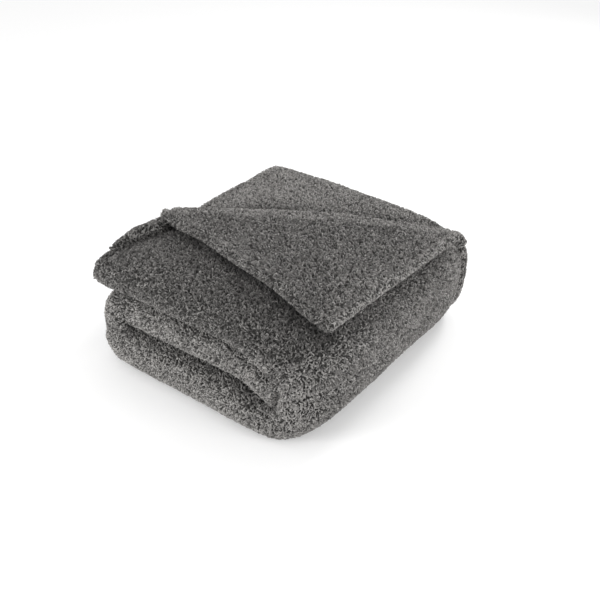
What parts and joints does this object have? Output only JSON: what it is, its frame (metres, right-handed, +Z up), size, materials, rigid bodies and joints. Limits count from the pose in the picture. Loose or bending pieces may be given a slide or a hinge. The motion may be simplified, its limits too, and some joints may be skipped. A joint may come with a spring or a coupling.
{
  "type": "folded throw blanket",
  "caption": "Plush curly-pile throw folded into a thick rounded block, with the topmost ply's free corner turned over.",
  "frame": {"origin": "centre of the block's underside", "axes": "+Z up, +X along the rolled strip towards the smooth outer wrap, +Y from the rounded folded edges towards the hemmed open edges"},
  "size_m": [0.42, 0.446, 0.1997],
  "materials": {
    "cloth": "matte",
    "hem": "matte"
  },
  "bodies": {
    "base": {"lower_run": "cloth", "middle_run": "cloth", "left_turn": "cloth", "lower_spine": "cloth", "lower_side_hem": "hem", "middle_side_hem": "hem", "turn_side_hem": "hem", "lower_spine_hem": "hem", "inner_end_hem": "hem"},
    "upper": {"upper_run": "cloth", "upper_spine": "cloth", "top_ply": "cloth", "upper_side_hem": "hem", "upper_spine_hem": "hem", "upper_end_hem": "hem"},
    "flap": {"corner_flap": "cloth", "flap_end_hem": "hem", "flap_side_hem": "hem"}
  },
  "joints": [
    {"name": "upper_opens", "type": "hinge", "parent": "base", "child": "upper", "pos_m": [0.21, 0, 0.1], "axis": [0, 1, 0], "range_deg": [0, 180]},
    {"name": "corner_turns_back", "type": "hinge", "parent": "upper", "child": "flap", "pos_m": [-0.005, 0.0725, 0.1849], "axis": [-0.8528, -0.5223, 0], "range_deg": [0, 180]}
  ]
}
